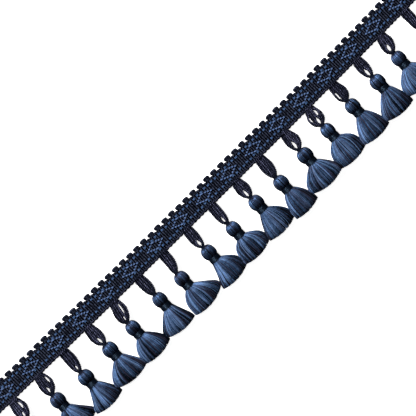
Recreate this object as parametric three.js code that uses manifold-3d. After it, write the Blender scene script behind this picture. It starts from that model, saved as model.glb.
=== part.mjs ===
// A tassel fringe trim: a woven gimp heading with picots along its upper edge, and a row of small
// yarn tassels that hang from cord loops along its lower edge. It lies face up on a flat surface.
//
// Millimetres. X runs along the heading, +Y points at the picots, +Z is up. The origin is in the
// middle of the heading's flat back, which lies at z = 0. Each tassel has three pieces: the cord
// loop, the yarn hank that forms its head and skirt, and the thread bound round its neck.

import * as THREE from 'three';
import { mergeVertices } from 'three/addons/utils/BufferGeometryUtils.js';
import Module from 'manifold-3d';

const wasm = await Module();
wasm.setup();

// The trim.
const PITCH = 20; // from one tassel to the next
const END_ALLOWANCE = 4; // heading past half a pitch at each cut end, to be turned under
const GAP = 0.3; // between one piece and the next

// How the band was laid down: a slight bow across it, and a slight stretch along it.
const BOW = { middle: 20, rise: 5e-5 };
const STRETCH = { middle: 10, rate: 5.3e-5 };

// The heading.
const HEADING = { width: 12.6, thickness: 2, lowerEdgeStep: 12 };
const PICOT = { perPitch: 3.5, phase: 0.25, reach: 2.1, stem: 2.5, head: 3.3, crown: 2.1, shoulder: 0.9 };

// The cord loop, from the heading's lower edge to the top of the tassel's head.
const LOOP = { rootHalf: 3.1, tipHalf: 0.9, thickness: 2.2, rootThickness: 1.8, rootHeight: 1.2 };
const LOOP_STATIONS = [0, 0.2, 0.45, 0.7, 0.87, 1];
const LOOP_SIDES = 6;

// The hank. Heights and depths are measured from the middle of the head.
const HEAD = { centre: 23.7, crown: 4.6, chin: 5, top: 4.45, bottom: 3.1, stations: 6 };
const NECK = { half: 2.2, top: 3.15, bottom: 6.65 };
const SKIRT = { top: 6.7, half: 3.3, hemThickness: 4.6, settle: 0.3 };
const SKIRT_STATIONS = [0, 0.14, 0.36, 0.66, 1];
const HANK_SIDES = 10;

// The thread bound round the neck.
const BINDING = { top: 3.45, bottom: 6.35, outer: 3.25 };

// One row for each tassel, from -X to +X, in millimetres: how far its loop's root is from its
// place on the pitch, how far the head leans from the root and how far it drops, the head's width,
// the skirt's reach to each side and how round that side is (1 is straight), the hem's distance
// from the middle of the head, and the loop's fullest half width on each side.
const COLUMNS = [
  'root', 'lean', 'drop', 'head', 'left', 'leftBell', 'right', 'rightBell', 'hem', 'leafLeft', 'leafRight',
];
const TASSELS = [
  [0.1, -0.6, 0.2, 8.2, 9.6, 2.4, 9.0, 2.6, 21.9, 3.5, 3.7],
  [0.0, -1.0, 0.4, 8.3, 10.0, 2.8, 9.2, 3.0, 21.8, 4.0, 4.9],
  [0.3, -1.6, 0.5, 8.5, 10.6, 3.6, 11.2, 1.8, 22.0, 3.7, 5.3],
  [0.15, -0.9, 2.2, 8.8, 9.4, 1.6, 9.0, 2.2, 21.5, 3.1, 3.5],
  [-0.05, 0.3, 0.5, 8.5, 11.9, 2.8, 9.1, 1.9, 21.8, 4.2, 3.9],
  [0.55, -2.3, 0.8, 8.0, 8.8, 3.5, 9.9, 2.6, 21.5, 4.4, 4.5],
  [0.45, 0.2, 0.1, 7.9, 12.2, 2.3, 7.5, 1.4, 21.5, 3.1, 3.4],
  [0.5, -2.4, 0.3, 8.1, 8.7, 3.6, 13.5, 2.4, 22.1, 2.2, 3.6],
  [0.15, -0.3, 0.4, 8.3, 8.0, 1.3, 10.8, 3.4, 22.2, 3.6, 2.9],
  [0.0, -0.5, 0.8, 8.0, 8.5, 4.8, 10.8, 3.9, 21.0, 3.4, 2.8],
  [-0.15, -0.3, -0.6, 8.4, 8.8, 2.2, 10.6, 3.0, 22.7, 3.8, 4.0],
  [-1.0, -1.1, 1.4, 8.3, 7.4, 3.4, 8.5, 2.8, 22.2, 3.4, 3.9],
  [-0.15, -0.8, 0.0, 8.9, 12.1, 3.0, 9.9, 2.5, 21.9, 3.6, 4.9],
  [-0.2, -1.1, -0.6, 7.7, 9.3, 4.2, 9.7, 4.2, 22.6, 4.9, 4.8],
  [-0.45, -0.6, -0.4, 8.2, 9.9, 2.5, 7.8, 2.8, 22.6, 3.7, 4.6],
  [-0.2, -0.5, 0.0, 8.5, 12.0, 2.4, 6.9, 2.6, 22.5, 3.6, 3.3],
  [-0.15, -2.0, -0.7, 7.8, 11.0, 3.2, 10.0, 2.5, 22.0, 4.0, 4.4],
  [0.0, -1.4, 0.2, 8.2, 9.2, 2.6, 9.8, 2.8, 22.0, 2.4, 3.2],
];

// The openings between the cords of the loops: which tassel, how far along the loop from its root
// (0 to 1), how far from its middle line, and the opening's width and length in millimetres.
const OPENING_COLUMNS = ['tassel', 'along', 'aside', 'width', 'length'];
const OPENINGS = [
  [1, 0.76, -0.2, 1.2, 3.4],
  [2, 0.36, 2.2, 1.0, 4.4],
  [2, 0.76, -0.2, 1.3, 3.2],
  [3, 0.36, 3.0, 1.1, 4.2],
  [3, 0.75, 0.0, 1.2, 3.2],
  [4, 0.8, 0.0, 1.1, 2.8],
  [5, 0.77, -0.4, 1.4, 3.6],
  [6, 0.4, 1.7, 0.9, 6.0],
  [6, 0.8, 0.0, 0.9, 2.8],
  [9, 0.78, -0.2, 1.6, 3.6],
  [10, 0.78, -0.5, 1.1, 3.6],
  [11, 0.75, -0.4, 1.4, 4.2],
  [13, 0.71, -0.2, 1.6, 4.8],
  [14, 0.44, -3.3, 0.7, 3.6],
  [14, 0.36, 2.2, 1.1, 4.0],
  [14, 0.74, 0.0, 1.6, 4.0],
  [15, 0.55, -2.0, 0.9, 5.2],
  [16, 0.74, -0.3, 1.6, 4.8],
  [17, 0.7, -0.2, 1.9, 4.0],
];
const OPENING_SIDES = 8;

const finish = (color, roughness) => new THREE.MeshStandardMaterial({ color, roughness, metalness: 0 });
const HEADING_GIMP = finish(0x171b2e, 0.75);
const LOOP_CORD = finish(0x1d1f36, 0.8);
const TASSEL_YARN = finish(0x2f4f85, 0.5);
const BINDING_THREAD = finish(0x0e1424, 0.45);

const named = (columns, row) => Object.fromEntries(columns.map((column, i) => [column, row[i]]));
const tassels = TASSELS.map((row) => named(COLUMNS, row));
const openings = OPENINGS.map((row) => named(OPENING_COLUMNS, row));

// The place on the surface of a point that is s along the straight band and y across it.
function laid(s, y) {
  const x = s - STRETCH.rate * (s - STRETCH.middle) ** 2;
  return new THREE.Vector2(x, y + BOW.rise * (x - BOW.middle) ** 2);
}

// A closed solid through rings of points. Every ring has the same even number of points, starting
// at its +X end and going anticlockwise as seen from +Y; the rings run from +Y to -Y.
function loft(rings) {
  const sides = rings[0].length;
  const faces = [];
  const at = (ring, i) => ring * sides + (i % sides);
  for (let ring = 0; ring + 1 < rings.length; ring++) {
    for (let i = 0; i < sides; i++) {
      faces.push([at(ring, i), at(ring, i + 1), at(ring + 1, i)]);
      faces.push([at(ring + 1, i), at(ring, i + 1), at(ring + 1, i + 1)]);
    }
  }
  const last = rings.length - 1;
  for (let i = 0; i < sides / 2; i++) {
    faces.push([at(0, i), at(0, sides - i), at(0, i + 1)]);
    faces.push([at(0, i + 1), at(0, sides - i), at(0, sides - i - 1)]);
    faces.push([at(last, i), at(last, i + 1), at(last, sides - i)]);
    faces.push([at(last, i + 1), at(last, sides - i - 1), at(last, sides - i)]);
  }
  const geometry = new THREE.BufferGeometry();
  const points = rings.flat().flatMap((point) => point.toArray());
  geometry.setAttribute('position', new THREE.Float32BufferAttribute(points, 3));
  geometry.setIndex(faces.filter(([a, b, c]) => a !== b && b !== c && c !== a).flat());
  return geometry;
}

// A ring with its own reach to each side, its own top and bottom, and its own line down the hank.
function ring(sides, { centre = 0, left, right, top, bottom, line }) {
  const flat = Math.sin(Math.PI / 2 - Math.PI / sides);
  return Array.from({ length: sides }, (_, i) => {
    const angle = (i / sides) * 2 * Math.PI;
    const aside = Math.cos(angle) * (Math.cos(angle) > 0 ? right : left);
    const up = THREE.MathUtils.lerp(bottom, top, (Math.sin(angle) / flat + 1) / 2);
    return new THREE.Vector3(centre + aside, line(aside), up);
  });
}

// The heading: one flat band with its cut outline, a mushroom-shaped picot at every place.
function headingGeometry() {
  const half = (tassels.length * PITCH) / 2 + END_ALLOWANCE;
  const edge = HEADING.width / 2;
  const outline = [];
  const steps = Math.ceil((2 * half) / HEADING.lowerEdgeStep);
  for (let i = 0; i <= steps; i++) {
    outline.push(laid(-half + (2 * half * i) / steps, -edge));
  }
  outline.push(laid(half, edge));
  const spacing = PITCH / PICOT.perPitch;
  const reach = Math.floor((half - PICOT.head / 2) / spacing);
  for (let i = reach; i >= -reach; i--) {
    const s = (i + PICOT.phase) * spacing;
    outline.push(laid(s + PICOT.stem / 2, edge));
    outline.push(laid(s + PICOT.head / 2, edge + PICOT.shoulder));
    outline.push(laid(s + PICOT.crown / 2, edge + PICOT.reach));
    outline.push(laid(s - PICOT.crown / 2, edge + PICOT.reach));
    outline.push(laid(s - PICOT.head / 2, edge + PICOT.shoulder));
    outline.push(laid(s - PICOT.stem / 2, edge));
  }
  outline.push(laid(-half, edge));
  return new THREE.ExtrudeGeometry(new THREE.Shape(outline), {
    depth: HEADING.thickness,
    bevelEnabled: false,
  });
}

const headCentre = (tassel) => -HEAD.centre - tassel.drop;
const axisHeight = (tassel) => (tassel.head / 2) * Math.sin(Math.PI / 2 - Math.PI / HANK_SIDES);

// A round ring of the head or neck, a stated height above the middle of the head.
function roundRing(tassel, above, radius) {
  const tall = radius * Math.sin(Math.PI / 2 - Math.PI / HANK_SIDES);
  return ring(HANK_SIDES, {
    left: radius,
    right: radius,
    top: axisHeight(tassel) + tall,
    bottom: axisHeight(tassel) - tall,
    line: () => headCentre(tassel) + above,
  });
}

// A ring of the skirt: share is 0 at the neck and 1 at the hem, which is an arc about the head.
function skirtRing(tassel, share) {
  const reach = (full, bell) => SKIRT.half + (full - SKIRT.half) * (1 - (1 - share) ** bell);
  const depth = THREE.MathUtils.lerp(SKIRT.top, tassel.hem, share);
  const rise = (aside) => tassel.hem - Math.sqrt(tassel.hem ** 2 - aside ** 2);
  const settled = Math.min(1, share / SKIRT.settle);
  return ring(HANK_SIDES, {
    left: reach(tassel.left, tassel.leftBell),
    right: reach(tassel.right, tassel.rightBell),
    top: THREE.MathUtils.lerp(axisHeight(tassel) + SKIRT.half, SKIRT.hemThickness, share),
    bottom: THREE.MathUtils.lerp(axisHeight(tassel) - SKIRT.half, 0, settled),
    line: (aside) => headCentre(tassel) - depth + share * rise(aside),
  });
}

// The yarn hank: a round head, a waist under the binding, and a skirt spread on the surface.
function hankGeometry(tassel) {
  const rings = [];
  for (let i = 0; i < HEAD.stations; i++) {
    const above = THREE.MathUtils.lerp(HEAD.top, -HEAD.bottom, i / (HEAD.stations - 1));
    const share = above / (above > 0 ? HEAD.crown : HEAD.chin);
    rings.push(roundRing(tassel, above, (tassel.head / 2) * Math.sqrt(1 - share ** 2)));
  }
  rings.push(roundRing(tassel, -NECK.top, NECK.half));
  rings.push(roundRing(tassel, -NECK.bottom, NECK.half));
  rings.push(...SKIRT_STATIONS.map((share) => skirtRing(tassel, share)));
  return loft(rings);
}

// The binding: a close ring of thread round the neck.
function bindingGeometry() {
  const inner = NECK.half + GAP;
  const profile = [
    [inner, -BINDING.bottom],
    [BINDING.outer, -BINDING.bottom],
    [BINDING.outer, -BINDING.top],
    [inner, -BINDING.top],
    [inner, -BINDING.bottom],
  ];
  const points = profile.map(([radius, y]) => new THREE.Vector2(radius, y));
  return new THREE.LatheGeometry(points, HANK_SIDES, Math.PI / 2);
}

// The middle line of a loop, from its root to the top of the head.
function loopMiddle(tassel, along) {
  const root = -HEADING.width / 2 - GAP;
  const tip = headCentre(tassel) + HEAD.top + GAP;
  return new THREE.Vector3(
    tassel.lean * along,
    THREE.MathUtils.lerp(root, tip, along),
    THREE.MathUtils.lerp(LOOP.rootHeight, axisHeight(tassel), along),
  );
}

// The whole bundle of a loop's cords, with no opening in it.
function loopBundle(tassel) {
  return loft(LOOP_STATIONS.map((along) => {
    const closing = Math.sqrt(1 - along ** 4);
    const spread = THREE.MathUtils.smoothstep(along, 0, LOOP_STATIONS[2]);
    const half = (leaf) => {
      const full = THREE.MathUtils.lerp(LOOP.rootHalf, leaf, spread);
      return LOOP.tipHalf + (full - LOOP.tipHalf) * closing;
    };
    const middle = loopMiddle(tassel, along);
    const thickness = THREE.MathUtils.lerp(LOOP.rootThickness, LOOP.thickness, spread);
    return ring(LOOP_SIDES, {
      centre: middle.x,
      left: half(tassel.leafLeft),
      right: half(tassel.leafRight),
      top: middle.z + thickness / 2,
      bottom: middle.z - thickness / 2,
      line: () => middle.y,
    });
  }));
}

// An upright cutter for one opening of a loop.
function openingCutter(tassel, opening) {
  const middle = loopMiddle(tassel, opening.along);
  const outline = Array.from({ length: OPENING_SIDES }, (_, i) => {
    const angle = (i / OPENING_SIDES) * 2 * Math.PI;
    return new THREE.Vector2(Math.cos(angle) * opening.width, Math.sin(angle) * opening.length).divideScalar(2);
  });
  const depth = 2 * tassel.head;
  const cutter = new THREE.ExtrudeGeometry(new THREE.Shape(outline), { depth, bevelEnabled: false });
  return cutter.translate(middle.x + opening.aside, middle.y, -depth / 2);
}

function toSolid(geometry) {
  const bare = geometry.clone();
  bare.deleteAttribute('normal');
  bare.deleteAttribute('uv');
  const merged = mergeVertices(bare);
  return new wasm.Manifold(new wasm.Mesh({
    numProp: 3,
    vertProperties: new Float32Array(merged.attributes.position.array),
    triVerts: new Uint32Array(merged.index.array),
  }));
}

function toGeometry(solid) {
  const mesh = solid.getMesh();
  const geometry = new THREE.BufferGeometry();
  geometry.setAttribute('position', new THREE.BufferAttribute(new Float32Array(mesh.vertProperties), 3));
  geometry.setIndex(new THREE.BufferAttribute(new Uint32Array(mesh.triVerts), 1));
  return geometry;
}

// The cord loop: its bundle of cords, parted where daylight shows between them.
function loopGeometry(tassel, number) {
  const cutters = openings
    .filter((opening) => opening.tassel === number)
    .map((opening) => toSolid(openingCutter(tassel, opening)));
  const bundle = toSolid(loopBundle(tassel));
  return toGeometry(cutters.reduce((solid, cutter) => solid.subtract(cutter), bundle));
}

function piece(name, geometry, material) {
  const mesh = new THREE.Mesh(geometry, material);
  mesh.name = name;
  return mesh;
}

const trim = new THREE.Group();
trim.add(piece('heading', headingGeometry(), HEADING_GIMP));

tassels.forEach((tassel, i) => {
  const number = i + 1;
  const label = String(number).padStart(2, '0');
  const place = laid((i - (tassels.length - 1) / 2) * PITCH + tassel.root, 0);

  const group = new THREE.Group();
  group.position.set(place.x, place.y, 0);
  group.add(piece(`loop_${label}`, loopGeometry(tassel, number), LOOP_CORD));

  const hanging = new THREE.Group();
  hanging.position.x = tassel.lean;
  hanging.add(piece(`hank_${label}`, hankGeometry(tassel), TASSEL_YARN));
  const binding = piece(`binding_${label}`, bindingGeometry(), BINDING_THREAD);
  binding.position.set(0, headCentre(tassel), axisHeight(tassel));
  hanging.add(binding);
  group.add(hanging);
  trim.add(group);
});

export default trim;
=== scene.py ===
"""Tassel fringe trim: a woven gimp heading, corded loops and a row of bound tassels.

The trim lies face up, its length along X, the picot edge towards +Y and the tassels towards -Y.
Run as a script, it registers its settings and operators, makes every piece and the stage.
"""

import math
from collections import namedtuple

import bpy
import numpy as np
from bpy.props import FloatProperty, FloatVectorProperty, IntProperty, PointerProperty
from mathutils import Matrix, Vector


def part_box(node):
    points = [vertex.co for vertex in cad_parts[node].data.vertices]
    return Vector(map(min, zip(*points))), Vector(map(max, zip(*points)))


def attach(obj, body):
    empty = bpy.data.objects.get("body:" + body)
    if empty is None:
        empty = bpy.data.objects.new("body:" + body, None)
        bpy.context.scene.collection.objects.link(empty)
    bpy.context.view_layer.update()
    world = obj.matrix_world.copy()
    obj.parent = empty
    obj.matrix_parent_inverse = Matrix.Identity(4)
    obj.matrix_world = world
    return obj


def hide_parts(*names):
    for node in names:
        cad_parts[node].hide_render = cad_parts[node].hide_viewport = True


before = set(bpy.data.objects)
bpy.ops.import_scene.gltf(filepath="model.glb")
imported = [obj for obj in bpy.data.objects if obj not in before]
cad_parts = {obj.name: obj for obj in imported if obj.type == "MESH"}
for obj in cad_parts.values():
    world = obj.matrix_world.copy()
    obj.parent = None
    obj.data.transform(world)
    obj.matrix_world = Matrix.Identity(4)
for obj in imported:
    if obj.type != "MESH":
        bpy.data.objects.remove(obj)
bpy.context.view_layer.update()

bl_info = {
    "name": "Tassel Fringe Trim",
    "version": (1, 0, 0),
    "blender": (4, 5, 0),
    "location": "3D View > Sidebar > Fringe",
    "description": "Makes a woven heading with corded loops and a row of tassels",
    "category": "Add Mesh",
}

MM = 0.001
TAU = 2 * math.pi
BODY = "root"
BLACK = (0, 0, 0, 1)
WHITE = (1, 1, 1, 1)

# the band lies in a slight bow and is stretched a little unevenly
STRETCH_RATE = 0.053
STRETCH_MIDDLE = 10 * MM
BOW_RISE = 0.05
BOW_MIDDLE = 20 * MM

TASSELS = 18
REPEAT = 20 * MM
RIBS_PER_REPEAT = 14
RIB = REPEAT / RIBS_PER_REPEAT
RIBS_PER_PICOT = 4
RIBS = 256
FIRST_RIB = -128
BAND_HALF_LENGTH = 184 * MM
BAND_HALF_WIDTH = 6.3 * MM

# where the heading ends, and how high a loop's cords lie over its edge, on the table and, more
# than the head's middle, on the head
HEADING_EDGE = -5.2 * MM
CORD_OVER_EDGE = 2.3 * MM
CORD_ON_TABLE = 1.5 * MM
CORD_ONTO_HEAD = 1.3 * MM

# the gaps between a loop's cords: tassel, share along the loop, then in millimetres the distance
# aside, the width and the length
Opening = namedtuple("Opening", "along aside width length")
OPENINGS = (
    (1, 0.76, -0.2, 1.2, 3.4), (2, 0.36, 2.2, 1.0, 4.4), (2, 0.76, -0.2, 1.3, 3.2),
    (3, 0.36, 3.0, 1.1, 4.2), (3, 0.75, 0.0, 1.2, 3.2), (4, 0.80, 0.0, 1.1, 2.8),
    (5, 0.77, -0.4, 1.4, 3.6), (6, 0.40, 1.7, 0.9, 6.0), (6, 0.80, 0.0, 0.9, 2.8),
    (9, 0.78, -0.2, 1.6, 3.6), (10, 0.78, -0.5, 1.1, 3.6), (11, 0.75, -0.4, 1.4, 4.2),
    (13, 0.71, -0.2, 1.6, 4.8), (14, 0.44, -3.3, 0.7, 3.6), (14, 0.36, 2.2, 1.1, 4.0),
    (14, 0.74, 0.0, 1.6, 4.0), (15, 0.55, -2.0, 0.9, 5.2), (16, 0.74, -0.3, 1.6, 4.8),
    (17, 0.70, -0.2, 1.9, 4.0),
)

# the blue floats of one diamond: ribs to each side of its middle, then in millimetres the
# distance above or below the middle, and the length
DIAMOND_MIDDLE = (10.65 * MM, 0.7 * MM)
DIAMOND = (
    (0.0, 2.25, 1.9), (1.67, 1.5, 1.12), (2.77, 0.82, 1.12), (3.88, -0.03, 1.3),
    (0.0, -2.25, 1.8), (1.45, -1.54, 1.2), (2.59, -0.84, 1.2),
)
DIAMOND_LEAN = math.radians(-12)
DIAMOND_SLANT = math.radians(5)
BORDERS = (4.15 * MM, -2.55 * MM)
BORDER_STEP = 0.18 * MM
WARP_ROWS = np.arange(-4.75, 5.3, 0.5) * MM

# where the weft turns back at the two edges, where the chain covers its lower turns, and the
# shape of a picot
LOWER_TURN = -5.1 * MM
UPPER_TURN = 5.52 * MM
CHAIN_PLACE = -5.3 * MM
PICOT_REACH = (7.15 * MM, 7.55 * MM)
PICOT_HALF_WIDTH = 1.62 * MM
PICOT_HALF_HEIGHT = 0.62 * MM
PICOT_NECK = 0.9 * MM
PICOT_ROOT = 6.1 * MM
PICOT_GIRTH = 1.28
FILLING_GIRTH = 1.45

# the tassels whose right corner lies over the next tassel's left one; elsewhere it lies under it.
# The upper corner is raised by the lift, and both corners reach out
RIGHT_OVER = (5, 13)
LAP_LIFT = 1.4 * MM
LAP_REACH = 0.45 * MM

# how far parts of a tassel are from its head's middle along Y, and how wide and thick they are
HEAD_CROWN = 4.95 * MM
HEAD_CHIN = 5.0 * MM
NECK_TOP = 3.45 * MM
NECK_HALF_WIDTH = 3.3 * MM
SKIRT_TOP = 6.7 * MM
HEM_THICKNESS = 4.6 * MM
BINDING_TURNS = 8
BINDING_RADIUS = 3.62 * MM
BINDING_TOP = 3.55 * MM
BINDING_END = 6.3 * MM

# where the random draws of each group of pieces start
WEFT_SEED = 50
LOOP_SEED = 100
HANK_SEED = 200

# the point that the camera looks at, and where the key light hangs
VIEW_MIDDLE = (7.63 * MM, -5.36 * MM, 3 * MM)
KEY_PLACE = (-0.4, 1.2, 0.86)


def blend(start, end, share):
    """The value that lies at this share of the way from start to end."""
    return start + (end - start) * share


def smooth(share):
    """A share from 0 to 1 that starts and ends gently."""
    share = np.clip(share, 0, 1)
    return share * share * (3 - 2 * share)


def path_at(x, y, z):
    """The points of a path, from numbers along it or single numbers."""
    return np.stack(np.broadcast_arrays(x, y, z), 1)


def laid(points):
    """Points of a straight band, moved to where the bowed band lies."""
    along, y, z = np.asarray(points, float).T
    x = along - STRETCH_RATE * (along - STRETCH_MIDDLE) ** 2
    return path_at(x, y + BOW_RISE * (x - BOW_MIDDLE) ** 2, z)


def numbered(kind, index):
    """The name of one tassel's node."""
    return f"{kind}_{index:02d}"


# ---- settings


def size(name, about, millimetres):
    """A length that a user may change."""
    return FloatProperty(
        name=name, description=about, default=millimetres * MM, min=0, unit="LENGTH", precision=5
    )


def colour(name, about, red, green, blue):
    """A colour that a user may change."""
    return FloatVectorProperty(
        name=name, description=about, default=(red, green, blue, 1), subtype="COLOR", size=4,
        min=0, max=1,
    )


def number(name, about, count):
    """A count that a user may change."""
    return IntProperty(name=name, description=about, default=count, min=1)


class HeadingSettings(bpy.types.PropertyGroup):
    """Sizes and colours of the woven heading."""

    weft: size("Weft thickness", "Thickness of the gimp cord that makes the ribs", 1.14)
    weft_height: size("Weft height", "Height of the ribs' middle above the table", 1.2)
    warp: size("Warp thickness", "Thickness of the dark threads that cross the ribs", 0.2)
    float_thread: size("Float thread", "Thickness of one thread of a blue float", 0.34)
    chain: size("Chain cord", "Thickness of the fine cord above the lower edge", 0.62)
    dark: colour("Gimp", "Colour of the ribs", 0.0015, 0.002, 0.005)
    # the gimp glint is the colour of the painted highlight on the ribs' crowns
    glint: colour("Gimp glint", "Colour of the ribs' worn crowns", 0.050, 0.060, 0.098)
    blue: colour("Border float", "Colour of the border floats", 0.036, 0.092, 0.215)
    pale: colour("Diamond float", "Colour of the diamonds' floats", 0.088, 0.142, 0.29)


class LoopSettings(bpy.types.PropertyGroup):
    """Sizes and colours of the loops that carry the tassels."""

    pitch: size("Cord pitch", "Distance from one cord to the next across a loop", 1.45)
    cord: size("Cord thickness", "Thickness of one twisted cord", 1.25)
    lay: size("Lay", "Length of one full twist of a cord", 2.2)
    dark: colour("Cord", "Colour of the cords", 0.002, 0.003, 0.007)
    # the cord glint is the colour of the painted highlight on the cords' crowns, not of lighter
    # yarns
    glint: colour("Cord glint", "Colour of the cords' lighter yarns", 0.24, 0.25, 0.44)


class TasselSettings(bpy.types.PropertyGroup):
    """Sizes and colours of the tassels."""

    strands: number("Strands", "Yarns on the outside of a skirt", 210)
    fill: number("Filling strands", "Yarns inside a skirt, seen at its trimmed end", 90)
    strand: size("Strand thickness", "Thickness of one yarn of a skirt", 0.4)
    cover: number("Head yarns", "Yarns that cover a head", 60)
    binding: size("Binding thread", "Thickness of the thread wound round the neck", 0.42)
    light: colour("Light yarn", "Colour of the lightest yarns", 0.25, 0.42, 0.75)
    middle: colour("Middle yarn", "Colour of most yarns", 0.064, 0.128, 0.262)
    dark: colour("Dark yarn", "Colour of the darkest yarns", 0.004, 0.006, 0.012)
    mauve: colour("Mauve yarn", "Colour of the few duller yarns", 0.088, 0.084, 0.150)


class StageSettings(bpy.types.PropertyGroup):
    """The floor, the lights and the camera."""

    floor: colour("Floor", "Colour of the floor", 0.92, 0.92, 0.92)
    key: FloatProperty(name="Key light", description="Power of the key light", default=60, min=0)
    room: FloatProperty(name="Room light", description="Strength of the soft light", default=0.05)
    glow: FloatProperty(name="Floor glow", description="Strength of the lit floor", default=0.95)
    view_width: size("View width", "Width of the floor that the camera sees", 240.88)
    view_turn: FloatProperty(
        name="View turn", description="Turn of the camera about its own axis",
        default=math.radians(44.9), subtype="ANGLE",
    )


SETTINGS = {
    "fringe_heading": HeadingSettings,
    "fringe_loops": LoopSettings,
    "fringe_tassels": TasselSettings,
    "fringe_stage": StageSettings,
}


# ---- node graphs


class Reading:
    """A node's output that adds its own Math node when it is used in an expression."""

    def __init__(self, graph, socket):
        self.graph = graph
        self.socket = socket

    def other(self, output):
        """Another output of the same node."""
        return Reading(self.graph, self.socket.node.outputs[output])

    def maths(self, operation, *values):
        """The result of a Math node on these values."""
        return self.graph.node("ShaderNodeMath", dict(enumerate(values)), operation=operation)

    def sine(self):
        """The sine of this reading."""
        return self.maths("SINE", self)

    def cosine(self):
        """The cosine of this reading."""
        return self.maths("COSINE", self)

    def __add__(self, other):
        return self.maths("ADD", self, other)

    def __sub__(self, other):
        return self.maths("SUBTRACT", self, other)

    def __mul__(self, other):
        return self.maths("MULTIPLY", self, other)

    def __truediv__(self, other):
        return self.maths("DIVIDE", self, other)


class Graph:
    """A node tree, made one call at a time."""

    def __init__(self, tree):
        self.tree = tree

    def node(self, kind, sockets=None, give=0, **settings):
        """Adds a node, sets it up, feeds its sockets and gives a reading of one output."""
        made = self.tree.nodes.new(kind)
        for setting, value in settings.items():
            if setting == "stops":
                self.set_stops(made.color_ramp, value)
            else:
                setattr(made, setting, value)
        for socket, value in (sockets or {}).items():
            if isinstance(value, Reading):
                self.tree.links.new(value.socket, made.inputs[socket])
            else:
                made.inputs[socket].default_value = value
        return Reading(self, made.outputs[give]) if len(made.outputs) else None

    @staticmethod
    def set_stops(ramp, stops):
        """Gives a colour ramp these positions and colours."""
        while len(ramp.elements) < len(stops):
            ramp.elements.new(1.0)
        for element, (position, tone) in zip(ramp.elements, stops):
            element.position = position
            element.color = tone

    def named(self, name):
        """A number that the paths carry."""
        return self.node("GeometryNodeInputNamedAttribute", {"Name": name}, data_type="FLOAT")

    def marked(self, geometry, name, value):
        """A geometry whose points carry this number."""
        return self.node(
            "GeometryNodeStoreNamedAttribute", {"Geometry": geometry, "Name": name, "Value": value},
            data_type="FLOAT", domain="POINT",
        )

    def scaled(self, vector, factor):
        """A vector times a number."""
        return self.node(
            "ShaderNodeVectorMath", {"Vector": vector, "Scale": factor}, operation="SCALE"
        )


def begin_tree(name, inputs):
    """A graph for a new tree, and the readings of the tree's named inputs."""
    tree = bpy.data.node_groups.new(name, "GeometryNodeTree")
    kinds = {"Distance": "Float", "Count": "Int"}
    for title, kind in inputs.items():
        made = tree.interface.new_socket(
            title, in_out="INPUT", socket_type=f"NodeSocket{kinds.get(kind, kind)}"
        )
        if kind == "Distance":
            made.subtype = "DISTANCE"
    tree.interface.new_socket("Geometry", in_out="OUTPUT", socket_type="NodeSocketGeometry")
    graph = Graph(tree)
    group = tree.nodes.new("NodeGroupInput")
    return graph, {output.name: Reading(graph, output) for output in group.outputs if output.name}


def finish_tree(graph, geometry, material):
    """Ends a tree with smooth shading, real instances and the material."""
    smoothed = graph.node("GeometryNodeSetShadeSmooth", {"Geometry": geometry})
    real = graph.node("GeometryNodeRealizeInstances", {"Geometry": smoothed})
    painted = graph.node("GeometryNodeSetMaterial", {"Geometry": real, "Material": material})
    graph.node("NodeGroupOutput", {"Geometry": painted})
    return graph.tree


def yarn_tree():
    """A tree that lays yarns along paths, and can twist several plies into a cord."""
    tree, given = begin_tree("Yarn along paths", {
        "Paths": "Geometry", "Yarn radius": "Distance", "Twist radius": "Distance",
        "Lay": "Distance", "Plies": "Count", "Sides": "Count", "Material": "Material",
    })
    curve = tree.node("GeometryNodeMeshToCurve", {"Mesh": given["Paths"]})
    plies = tree.node(
        "GeometryNodeDuplicateElements", {"Geometry": curve, "Amount": given["Plies"]},
        domain="SPLINE",
    )
    length = tree.node("GeometryNodeSplineParameter", None, "Length")
    angle = (length / given["Lay"] + plies.other("Duplicate Index") / given["Plies"]) * TAU
    girth = tree.named("girth")
    normal = tree.node("GeometryNodeInputNormal")
    tangent = tree.node("GeometryNodeInputTangent")
    across = tree.node("ShaderNodeVectorMath", {0: tangent, 1: normal}, operation="CROSS_PRODUCT")
    offset = tree.node("ShaderNodeVectorMath", {
        0: tree.scaled(normal, angle.cosine() * given["Twist radius"] * girth),
        1: tree.scaled(across, angle.sine() * given["Twist radius"] * girth),
    }, operation="ADD")
    moved = tree.node("GeometryNodeSetPosition", {"Geometry": plies, "Offset": offset})
    ring = tree.node("GeometryNodeCurvePrimitiveCircle", {
        "Resolution": given["Sides"], "Radius": given["Yarn radius"],
    })
    body = tree.node("GeometryNodeCurveToMesh", {
        "Curve": tree.marked(moved, "along", length),
        "Profile Curve": tree.marked(ring, "around", tree.node("GeometryNodeSplineParameter")),
        "Scale": girth, "Fill Caps": True,
    })
    return finish_tree(tree, body, given["Material"])


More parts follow.
